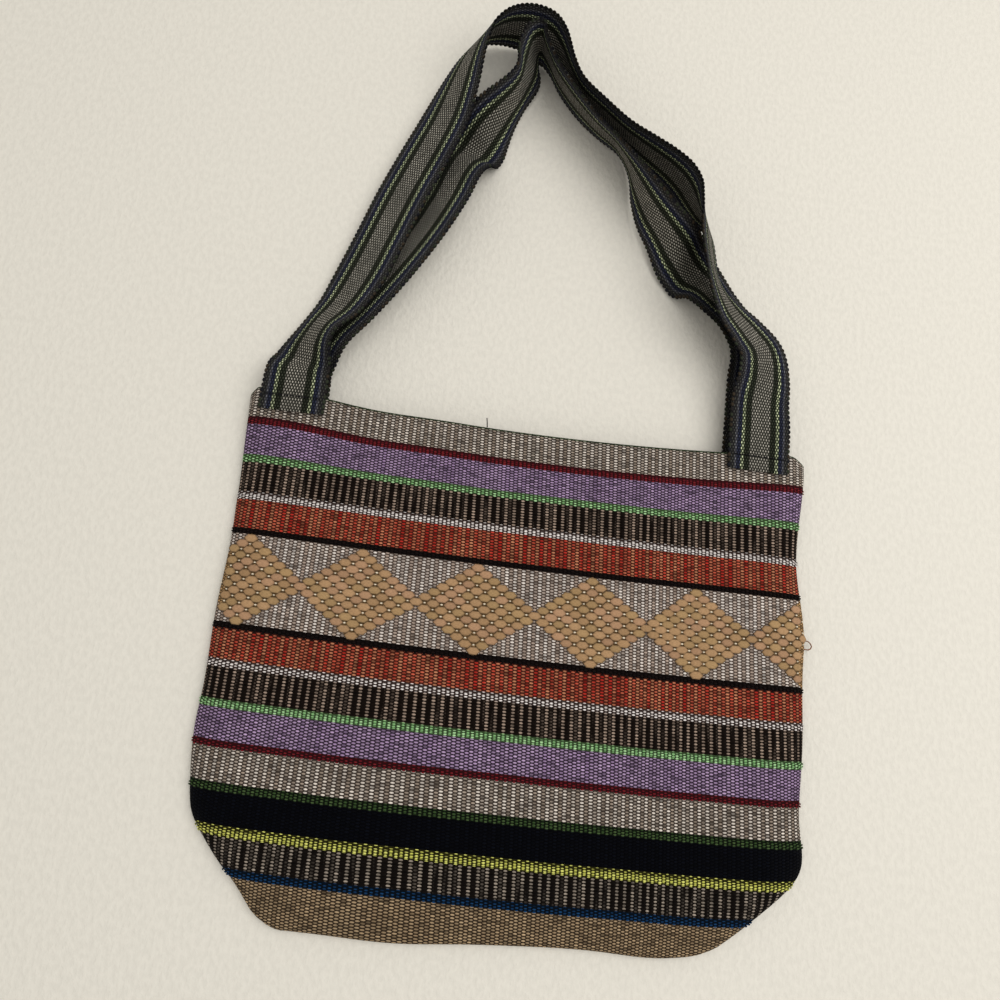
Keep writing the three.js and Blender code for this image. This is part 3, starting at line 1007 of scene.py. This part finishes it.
@dataclass
class BagBody:
    """The cloth bag: a folded, sagging shell with an open mouth, dressed with raised yarns."""

    form: BagForm  # the bag's shape
    grid: WeaveGrid  # the grid of the weave
    columns: int = 384  # mesh columns across the front panel
    coarse: int = 3  # front columns to one column of the back panel
    step: float = 2.4  # largest distance between two mesh rows, mm
    edge: float = 0.35  # half the slope between two stripes, mm
    fold: float = 2.6  # height above the base fold over which the rows lie closer, mm
    fold_rows: tuple[float, ...] = (2.4, 1.5, 0.8, 0.3, 0.05)  # heights of those rows, mm
    inner_rows: int = 14  # mesh rows of the pocket
    # bulge, mm, and share of the way in of each mesh row over the mouth's edge
    lip: tuple[tuple[float, float], ...] = ((0.28, 0.15), (0.4, 0.5), (0.28, 0.85))
    rib: float = 0.36  # half the width of a dark rib, as a share of the distance between two
    float_margin: float = 4.9  # from a side of the panel to the nearest brocade float, mm
    tie_margin: float = 2.5  # the same for the nearest pale tie
    # rows of beads on a raised line, from its middle, in rows of the weave
    line_rows: tuple[float, ...] = (-0.42, 0.42)
    near: float = 0.4  # distance at which the lie of the cloth is felt for, across, mm
    near_up: float = 0.5  # the same along the cloth
    thread_step: float = 0.4  # distance between two beads of a loose thread, mm
    extras: list[Piece] = field(default_factory=list)  # the raised yarns
    # bare rows of the front panel, kept for the next bead on them
    kept: dict[float, tuple[Array, Array]] = field(default_factory=dict)

    def rows(self) -> list[tuple[float, Stripe]]:
        """Rows of the mesh from the base fold to the mouth, with a slope between two stripes.

        Returns:
            The place along the cloth of each row, and the stripe that it is in.
        """
        found = []
        top = self.form.mouth_y
        for stripe in STRIPES:
            run = stripe.width - 2 * self.edge
            cuts = max(1, math.ceil(run / self.step))
            found += [(top - self.edge - run * i / cuts, stripe) for i in range(cuts + 1)]
            top -= stripe.width
        base = self.form.base_y
        found = [(y, stripe) for y, stripe in found if y > base + self.fold]
        found += [(base + height, BASE_STRIPE) for height in self.fold_rows]
        return found[::-1]

    def rounding(self, y: float) -> float:
        """How far each panel bends towards the other just above the base fold.

        Args:
            y: Place along the cloth.

        Returns:
            The way, mm.
        """
        radius = self.form.edge_height / 2
        short = max(0.0, radius - (y - self.form.base_y))
        return radius - math.sqrt(max(0.0, radius * radius - short * short))

    def front_u(self) -> Array:
        """Shares of the half width at the mesh columns, closer together at the folded sides."""
        even = np.linspace(-1, 1, self.columns + 1)
        return np.sign(even) * (1 - (1 - np.abs(even)) ** 1.08)

    def back_u(self) -> Array:
        """The same on the back panel, from right to left between the folded sides."""
        return self.front_u()[:: self.coarse][1:-1][::-1]

    def front_row(self, y: float, weave: Weave) -> tuple[Array, Array]:
        """One mesh row of the front panel.

        Args:
            y: Place along the cloth.
            weave: How the stripe there is woven.

        Returns:
            The points, and the place on the flat cloth of each.
        """
        form = self.form
        u = self.front_u()
        points = form.points(u, y, form.front_z(u, y) - self.rounding(y))
        x = points[:, 0]
        run = lengths(points[:, [0, 2]])
        across = run - run[self.columns // 2] + form.gather(x, y)
        rise = form.line_rise if weave is Weave.LINE else 0.0
        if weave is Weave.BARS:
            away = np.mod(across / (2 * self.grid.column) + 0.25, 1.0) - 0.5
            rise = form.rib_rise * np.sqrt(np.maximum(0, 1 - (away / self.rib) ** 2))
        inside = np.minimum(1, (1 - np.abs(u)) * 40)
        points[:, 2] += inside * (rise + form.slack(x, y))
        return points, self.place(across, y + form.skew(u, y))

    def back_row(self, y: float) -> tuple[Array, Array]:
        """One mesh row of the back panel, with the place on the flat cloth of each point.

        Args:
            y: Place along the cloth.

        Returns:
            The points, and the place on the flat cloth of each.
        """
        u = self.back_u()
        points = self.form.points(u, y, self.form.back_z(u, y) + self.rounding(y))
        x = points[:, 0]
        return points, self.place(x + self.form.gather(x, y), y + self.form.skew(u, y))

    def inner_row(self, y: float) -> tuple[Array, Array]:
        """One mesh row of the pocket, a layer of cloth inside the outer skin.

        Args:
            y: Place along the cloth.

        Returns:
            The points, and the place on the flat cloth of each.
        """
        form = self.form
        u, v = self.front_u(), self.back_u()
        share = (form.half_width(y) - form.seam) / form.half_width(y)
        middle = form.edge_z(y)
        depth = form.crown_along(y) * min(1.0, (y - form.base_y) / form.crown_depth)
        rise = (form.front_z(u * share, y) - form.layer(y) - middle) * np.sqrt(1 - u**8)
        top = middle + np.maximum(0, rise * max(0.25, depth))
        flat = form.layer(y) + form.lift(y)
        below = flat + (min(flat, middle - 0.3) - flat) * v**8
        points = np.concatenate([form.points(u, y, top, form.seam), form.points(v, y, below, form.seam)])
        return points, self.place(points[:, 0], np.full(len(points), y))

    @staticmethod
    def place(across: Array, along: Array) -> Array:
        """Places on the flat cloth."""
        return np.stack([across, along, np.zeros_like(across)], axis=1)

    def build(self, finish: Material) -> Piece:
        """Builds the cloth.

        Args:
            finish: The striped cloth.

        Returns:
            The cloth of the bag.
        """
        rings = []
        places = []
        for y, stripe in self.rows():
            row = zip(self.front_row(y, stripe.weave), self.back_row(y))
            for found, parts in zip((rings, places), row):
                found.append(np.concatenate(parts))
        top = self.form.mouth_y - self.edge
        base = self.form.base_y + self.form.seam
        depths = (np.arange(self.inner_rows + 1) / self.inner_rows) ** 0.8
        inner = [self.inner_row(float(top + (base - top) * depth)) for depth in depths]
        mouth, mouth_place = rings[-1], places[-1]
        for bulge, share in self.lip:
            rings.append(mouth * (1 - share) + inner[0][0] * share + np.array([0, bulge, 0]))
            places.append(mouth_place + np.array([0, 0.3, 0]))
        rings += [ring for ring, _ in inner]
        places += [place for _, place in inner]
        last = (len(rings) - 1) * len(mouth)
        faces = tube(len(rings), len(mouth)) + self.closing(0, True) + self.closing(last, False)
        made = solid("bag_cloth", np.concatenate(rings), faces, finish)
        carry(made.data, "cloth", np.concatenate(places))
        return made

    def closing(self, first: int, turned: bool) -> list[list[int]]:
        """Faces that close an end ring between its front and its back.

        Args:
            first: Number of the ring's first point.
            turned: Whether the faces look the other way.

        Returns:
            The faces.
        """
        cells = self.columns // self.coarse
        faces = []
        for cell in range(cells):
            start = first + cell * self.coarse
            front = [start + i for i in range(self.coarse + 1)]
            below = [first + self.columns + cells - i for i in (cell, cell + 1) if 0 < i < cells]
            face = front + below[::-1]
            faces.append(face[::-1] if turned else face)
        return faces

    def bare(self, y: float) -> tuple[Array, Array]:
        """Places across the flat cloth and points of a bare row of the front panel.

        Args:
            y: Place along the cloth.

        Returns:
            The places and the points.
        """
        y = round(float(y), 3)
        if y not in self.kept:
            points, place = self.front_row(y, Weave.PLAIN)
            self.kept[y] = (place[:, 0], points)
        return self.kept[y]

    def surface(self, places: Array, rise: float) -> tuple[Array, Array, Array]:
        """Points on the front panel from places on the flat cloth.

        Args:
            places: Places across the cloth from its middle line, and along it.
            rise: Height above the panel.

        Returns:
            The points, the directions away from the cloth and the directions along the rows.
        """
        found = []
        for x, y in places:
            left, middle, right = between(x + np.array([-self.near, 0, self.near]), *self.bare(y))
            upper = between(x, *self.bare(y + self.near_up))
            normal = unit(np.cross(right - left, upper - middle))
            found.append((middle + rise * normal, normal, unit(right - left)))
        points, facing, along = (np.array(part) for part in zip(*found))
        return points, facing, along

    def shown(self, x: float, y: float, margin: float = 1.0) -> bool:
        """Whether a place on the flat cloth lies on the front panel, a margin inside its sides."""
        rows = [self.bare(y + up)[0] for up in (0.0, self.near_up)]
        return max(row[0] for row in rows) + margin < x < min(row[-1] for row in rows) - margin

    def brocade(self) -> tuple[Array, Array]:
        """Places of the brocade floats, and of the pale ties between them, on the flat cloth.

        Returns:
            The places of the floats and of the ties.
        """
        grid = self.grid
        pitch = grid.diamond_pitch / grid.floats_per_diamond
        side = math.ceil(self.form.width / 2 / grid.diamond_pitch) + 1
        floats = []
        ties = []
        for diamond in range(-side, side):
            tip = grid.diamond_offset + diamond * grid.diamond_pitch
            for row in range(-grid.diamond_rows, grid.diamond_rows + 1):
                count = grid.floats_per_diamond + 1 - abs(row)
                left = tip + pitch * abs(row) / 2
                shared = 1 if row == 0 else 0
                spots = [left + pitch * i for i in range(count - shared)]
                middles = [x + pitch / 2 for x in spots[: count - 1]]
                y = row * grid.float_row
                floats += [(x, y) for x in spots if self.shown(x, y, self.float_margin)]
                ties += [(x, y) for x in middles if self.shown(x, y, self.tie_margin)]
        return np.array(floats), np.array(ties)

    def lines(self) -> tuple[Array, Array]:
        """Places and colours of the beads along the raised lines.

        Returns:
            The places and the colours.
        """
        places = []
        colours = []
        top = self.form.mouth_y
        column = self.grid.column
        columns = math.ceil(self.form.width / 2 / column) + 4
        for stripe in STRIPES:
            middle = top - stripe.width / 2
            top -= stripe.width
            if stripe.weave is not Weave.LINE:
                continue
            for index in range(-columns, columns):
                odd = index % 2
                x = (index + 0.5) * column
                for row in self.line_rows:
                    y = middle + (row + (0.25 if odd else -0.25)) * self.grid.row
                    if self.shown(x, y):
                        places.append((x, y))
                        colours.append(shade(*(stripe.second if odd else stripe.first)))
        return np.array(places), np.array(colours)

    def dress(self, beads: BeadTree, yarn: Material) -> list[Piece]:
        """Adds the raised yarns.

        Args:
            beads: The tree that lays beads.
            yarn: Finish of the yarns.

        Returns:
            The new pieces.
        """
        floats, ties = self.brocade()
        lines, line_colours = self.lines()
        tans = np.array([shade(*tan) for tan in TANS])
        pick = np.random.default_rng(7).integers(0, len(tans), len(floats))
        for name, bead, places, colours in (
            ("brocade_floats", FLOAT_BEAD, floats, tans[pick]),
            ("brocade_ties", TIE_BEAD, ties, shade(*TIE_COLOUR)),
            ("line_yarns", LINE_BEAD, lines, line_colours),
        ):
            self.extras.append(beads.lay(name, bead, yarn, *self.surface(places, bead.rise), colours))
        for name, colour, points in LOOSE_ENDS:
            line = np.array(points)
            run = lengths(line)
            at = between(np.arange(0, run[-1], self.thread_step), run, line)
            along = unit(np.gradient(at, axis=0))
            self.extras.append(beads.lay(name, LOOSE_BEAD, yarn, at, (0.0, 0.0, 1.0), along, shade(*colour)))
        return self.extras


@dataclass(frozen=True)
class RoutePoint:
    """One point of a handle's middle line."""

    x: float  # place across, mm
    y: float  # place along, mm
    bank: float  # tilt about the route, left edge up, degrees
    low: float  # height of the band's lower edge, mm


@dataclass
class Handle:
    """A woven band sewn to one side of the mouth at both ends."""

    name: str  # name of the handle's node
    route: list[RoutePoint]  # points of its middle line from the left end to the right end
    width: float = 38  # width of the band, mm
    thickness: float = 1.8  # thickness of the band, mm
    trim: float = 1.2  # how much narrower the cloth of the band is than the band with its loops, mm
    steps: int = 8  # mesh rings between two points of the route
    strips: int = 20  # mesh strips across the band
    scallop: float = 3.1  # distance between two loops of the selvedge, mm
    loop_inset: float = 0.75  # from the edge of the band to the middle of a loop, mm
    first_loop: float = 1.5  # from the left end to the first loop, mm
    last_loop: float = 1.0  # least distance from the last loop to the right end, mm

    def line(self) -> tuple[Array, Array, Array, Array]:
        """The band's middle line.

        Returns:
            Its points, the directions across from the right edge to the left, the directions away from its
            upper face and the lengths along it.
        """
        turns = np.radians([p.bank for p in self.route])
        half = (np.abs(np.sin(turns)) * self.width + np.abs(np.cos(turns)) * self.thickness) / 2
        lows = np.array([p.low for p in self.route])
        knots = np.column_stack([[(p.x, p.y) for p in self.route], lows + half, turns])
        ends = np.concatenate([[2 * knots[0] - knots[1]], knots, [2 * knots[-1] - knots[-2]]])
        found = []
        slopes = []
        count = len(knots) - 1
        for i in range(count * self.steps + 1):
            k = min(i // self.steps, count - 1)
            t = i / self.steps - k
            a, b, c, d = ends[k : k + 4]
            first = 0.5 * (c - a)
            last = 0.5 * (d - b)
            cubic = 2 * b - 2 * c + first + last
            square = -3 * b + 3 * c - 2 * first - last
            found.append(((cubic * t + square) * t + first) * t + b)
            slopes.append((3 * cubic * t + 2 * square) * t + first)
        at = np.array(found)
        heading = unit(np.array(slopes)[:, :3] * np.array([1.0, 1.0, 0.0]))
        left = np.column_stack([-heading[:, 1], heading[:, 0], np.zeros(len(heading))])
        bank = at[:, 3:4]
        across = np.cos(bank) * left + np.sin(bank) * np.array([0, 0, 1.0])
        return at[:, :3], across, unit(np.cross(heading, across)), lengths(at[:, :3])

    def build(self, finish: Material) -> Piece:
        """Builds the band.

        Args:
            finish: The webbing.

        Returns:
            The band.
        """
        at, across, up, length = self.line()
        shares = np.linspace(-0.5, 0.5, self.strips + 1)
        half = self.thickness / 2 * (1 - 0.5 * np.abs(2 * shares) ** 10)
        both = np.concatenate([shares, shares[::-1]])
        off = np.concatenate([-half, half[::-1]])
        flat = self.width - self.trim
        rings = at[:, None] + both[:, None] * flat * across[:, None] + off[:, None] * up[:, None]
        count = len(both)
        last = (len(at) - 1) * count
        faces = tube(len(at), count)
        for i in range(self.strips):
            j = count - 1 - i
            faces.append([j, j - 1, i + 1, i])
            faces.append([last + i, last + i + 1, last + j - 1, last + j])
        made = solid(self.name + "_band", rings.reshape(-1, 3), faces, finish)
        run = np.repeat(length, count)
        carry(made.data, "band", np.column_stack([np.tile(both + 0.5, len(at)), run, np.zeros_like(run)]))
        return made

    def dress(self, beads: BeadTree, yarn: Material) -> Piece:
        """Adds the loops of weft along both edges.

        Args:
            beads: The tree that lays beads.
            yarn: Finish of the loops.

        Returns:
            The loops.
        """
        at, across, up, _ = self.line()
        found = []
        for side in (-1, 1):
            edge = at + side * (self.width / 2 - self.loop_inset) * across
            run = lengths(edge)
            spots = np.arange(self.first_loop, run[-1] - self.last_loop, self.scallop)
            way = np.gradient(edge, run, axis=0)
            here, away, way = (between(spots, run, known) for known in (edge, up, way))
            found.append((here, unit(away), unit(way)))
        points, facing, along = (np.concatenate(part) for part in zip(*found))
        dark = np.array([shade(*look) for look in SELVEDGE])
        colours = dark[np.random.default_rng(13).integers(0, len(dark), len(points))]
        return beads.lay(self.name + "_selvedge", SELVEDGE_BEAD, yarn, points, facing, along, colours)


@dataclass
class StitchRow:
    """A row of stitches across a sewn end of a handle."""

    name: str  # name of the row's node
    handle: Handle  # the handle that it holds
    right: bool  # whether it is at the handle's right end
    side: Side  # face of the band that it lies on
    inset: float = 8.7  # distance from the cut end, mm
    count: int = 9  # number of stitches
    margin: float = 2.5  # from the edge of the band to the first stitch, mm
    thread: float = 0.7  # thickness of the thread, mm
    clearance: float = 0.3  # gap between the thread and the band, mm

    def build(self, beads: BeadTree, yarn: Material) -> Piece:
        """Builds the row of stitches.

        Args:
            beads: The tree that lays beads.
            yarn: Finish of the thread.

        Returns:
            The stitches.
        """
        at, across, up, length = self.handle.line()
        centre = between(length[-1] - self.inset if self.right else self.inset, length, at)
        end = -1 if self.right else 0
        away = self.side.value * up[end]
        run = self.handle.width - 2 * self.margin
        shares = (np.arange(self.count) + 0.5) / self.count - 0.5
        rise = self.handle.thickness / 2 + self.clearance + self.thread / 2
        points = centre + shares[:, None] * run * across[end] + rise * away
        stitch = Bead(run / self.count, self.thread, self.thread, 0.05, 23, 8, 6)
        colour = shade(*THREAD_COLOUR)
        return beads.lay(self.name + "_thread", stitch, yarn, points, away, across[end], colour)


@dataclass
class Studio:
    """A pale floor, soft light and the camera above the bag."""

    lens: float = 26.68  # focal length on the sensor, mm
    sensor: float = 36  # width of the sensor, mm
    place: Point = (-38.86, -25.41, 433.4)  # where the camera is, mm
    right: Point = (0.99117, 0.11170, 0.07150)  # direction to the right of the picture
    up: Point = (-0.12387, 0.97231, 0.19818)  # direction to the top of the picture
    floor: float = 2500.0  # half the side of the floor, mm
    room: Colour = (1.0, 0.985, 0.96, 1.0)  # colour of the light from all round
    room_light: float = 0.58  # its strength
    window: Point = (0.62, 0.22, 1.3)  # where the square window is, metres
    window_size: float = 1.4  # its side, metres
    window_power: float = 11.5  # its power, watts
    aim: Point = (0, 0.08, 0)  # what the window's light looks at, metres

    def build(self) -> None:
        """Sets the floor, the light and the camera."""
        scene = bpy.context.scene
        scene.view_settings.view_transform = "Standard"
        corners = self.floor * np.array([[-1, -1, 0], [1, -1, 0], [1, 1, 0], [-1, 1, 0]])
        solid("floor", corners, [[0, 1, 2, 3]], FloorFinish().material())
        scene.world = bpy.data.worlds.new("soft_room")
        scene.world.use_nodes = True
        room = scene.world.node_tree.nodes["Background"].inputs
        room[0].default_value = self.room
        room[1].default_value = self.room_light
        lamp = bpy.data.lights.new("window", "AREA")
        lamp.size = self.window_size
        lamp.energy = self.window_power
        window = placed("window", lamp)
        window.location = self.window
        look = Vector(self.aim) - Vector(self.window)
        window.rotation_euler = look.to_track_quat("-Z", "Y").to_euler()
        camera = placed("camera", bpy.data.cameras.new("camera"))
        camera.data.lens = self.lens
        camera.data.sensor_width = self.sensor
        camera.data.clip_start = 0.01
        right = Vector(self.right).normalized()
        up = (Vector(self.up) - right * Vector(self.up).dot(right)).normalized()
        turn = Matrix((right, up, right.cross(up))).transposed()
        camera.matrix_world = Matrix.Translation(Vector(self.place) * MM) @ turn.to_4x4()
        scene.camera = camera


FRONT_SEAT = 13.837  # height of the front handle's sewn ends, on the front hem
FRONT_BANK = -2  # their tilt, degrees
BACK_SEAT = 1.3  # height of the back handle's sewn ends, with stitches beneath them
BACK_BANK = 0
FLOOR_CLEARANCE = 0.2
MOUTH_LINE = 113.8  # where the handles pass the edge of the mouth
CUT_END = 99.3  # where the handles' cut ends lie
FRONT_POINTS = (
    (-145.2, 125.8, -7, 0.6, 0.8), (-144.2, 132.5, -17, 0.4, 0.3), (-141.0, 143.7, -36, 2.4, 0.1),
    (-135.6, 155.2, -41.5, 4), (-126.5, 170.3, -32, 4), (-118.3, 191.9, -25, 4.4),
    (-110.1, 217.4, -24.5, 5.4), (-101.0, 247.1, -24, 6.7), (-90.7, 276.5, -24.5, 7.4),
    (-81.9, 301.9, -28.5, 7.6), (-76.6, 324.1, -39, 6.3), (-72.6, 342.0, -50, 5.8), (-68.8, 355.1, -57, 5.2),
    (-64.2, 364.7, -63, 4.4), (-57.4, 370.8, -71, 3.6), (-49.3, 375.0, -80, 2.6), (-39.9, 377.3, -89, 1.3),
    (-30.0, 377.0, -95, 0.5), (-20.6, 373.1, -97, 0.4), (-13.7, 364.9, -95.5, 0.4), (-8.3, 355.4, -90, 0.6),
    (-2.8, 345.9, -83, 0.8), (5.6, 334.7, -77, 0.8), (19.7, 323.2, -75.5, 0.8), (36.5, 310.1, -76, 0.6),
    (51.2, 299.7, -82, 0.8), (64.0, 290.7, -87, 1.2), (73.7, 281.2, -91, 2), (79.8, 270.6, -90, 3.5),
    (83.7, 259.1, -79, 7.2), (88.3, 247.3, -63, 11.8), (90.7, 233.9, -59, 12), (93.6, 219.6, -58.5, 11.6),
    (99.6, 205.9, -50.5, 11.6), (109.0, 194.1, -37, 11.8), (120.5, 183.5, -28.5, 9.4, 0.2),
    (129.5, 171.7, -22.5, 7, 0.5), (132.4, 157.2, -17, 2.4, 0.78), (131.9, 142.3, -8, 0.6, 0.9),
    (132.6, 126.7, -3, 0, 0.98),
)
BACK_POINTS = (
    (-146.5, 127.5, -1, 0.2), (-140.9, 139.5, -15, 0.4), (-132.3, 152.7, -28, 0.9),
    (-119.4, 169.5, -30, 1.4), (-103.6, 193.9, -30, 2.4), (-86.7, 223.5, -31, 3.6), (-75.1, 249.9, -30, 4.8),
    (-69.8, 267.5, -29, 4.8), (-65.9, 279.8, -20, 4), (-61.4, 291.3, -3, 2.8), (-54.0, 302.5, 29, 1.9),
    (-44.8, 314.0, 64, 2), (-36.2, 329.4, 77, 3.4), (-32.1, 347.6, 64, 4.6), (-30.5, 360.7, 73, 4.2),
    (-25.7, 366.6, 91, 2.8), (-20.0, 358.8, 101, 1.6), (-12.0, 344.8, 103, 0.8), (0.8, 328.8, 104.5, 0.4),
    (15.7, 314.0, 109, 0.6), (29.2, 302.5, 112.5, 1.6), (38.1, 289.1, 105.5, 2.2), (45.5, 273.1, 89, 3.2),
    (53.9, 257.5, 76, 4.2), (64.4, 243.6, 65, 4.4), (75.4, 233.5, 40, 2.6), (85.9, 227.0, 11, 1.6),
    (94.6, 220.2, -13, 1.3), (104.0, 208.7, -25.5, 1), (117.0, 194.7, -29.5, 0.6), (129.6, 178.2, -18, 0.6),
    (134.0, 158.0, -4, 0.2),
)


def route(points: tuple[tuple[float, ...], ...], seat: float, bank: float) -> list[RoutePoint]:
    """A handle's route with its sewn ends.

    Args:
        points: Place across and along, bank, lift and any share of the seat at each free point.
        seat: Height of the sewn ends.
        bank: Tilt of the sewn ends, degrees.

    Returns:
        All points from the left end to the right end.
    """
    free = [
        RoutePoint(x, y, tilt, FLOOR_CLEARANCE + lift + sum(share) * seat)
        for x, y, tilt, lift, *share in points
    ]
    left = [RoutePoint(points[0][0], y, bank, seat) for y in (CUT_END, MOUTH_LINE)]
    right = [RoutePoint(points[-1][0], y, bank, seat) for y in (MOUTH_LINE, CUT_END)]
    return left + free + right


def corners(box: tuple[Vector, Vector]) -> list[list[float]]:
    """The lowest and highest corner of a box as plain lists."""
    return [list(map(float, corner)) for corner in box]


def main() -> None:
    """Builds the bag, its handles and its stitches, and sets them in the studio."""
    logging.basicConfig(level=logging.INFO, format="%(name)s: %(message)s")
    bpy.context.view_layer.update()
    form = BagForm()
    grid = WeaveGrid()
    beads = BeadTree()
    yarn = YarnFinish("yarn").material()
    thread = YarnFinish("sewing_thread", 0.0001, 0.02).material()
    webbing = WebbingFinish().material()
    body = BagBody(form, grid)
    cloth = body.build(StripedClothFinish(grid, form).material())
    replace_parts(joined(cloth), "bag_body")
    LOG.info("bag cloth: %d faces", len(cloth.data.polygons))
    for piece in body.dress(beads, yarn):
        joined(piece)
        LOG.info("%s: %d faces", piece.name, len(piece.data.polygons))
    front = Handle("front_handle", route(FRONT_POINTS, FRONT_SEAT, FRONT_BANK))
    back = Handle("back_handle", route(BACK_POINTS, BACK_SEAT, BACK_BANK))
    rows = [
        StitchRow("front_left_stitching", front, False, Side.ABOVE),
        StitchRow("front_right_stitching", front, True, Side.ABOVE),
        StitchRow("back_left_stitching", back, False, Side.BELOW),
        StitchRow("back_right_stitching", back, True, Side.BELOW),
    ]
    for handle in (front, back):
        band = handle.build(webbing)
        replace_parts(joined(band), handle.name)
        pieces = [joined(handle.dress(beads, yarn))]
        for row in rows:
            if row.handle is handle:
                stitches = row.build(beads, thread)
                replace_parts(joined(stitches), row.name)
                pieces.append(stitches)
        length = float(handle.line()[3][-1]) * MM
        LOG.info("%s: %.0f mm of band", handle.name, length / MM)
    Studio().build()


if __name__ == "__main__":
    main()
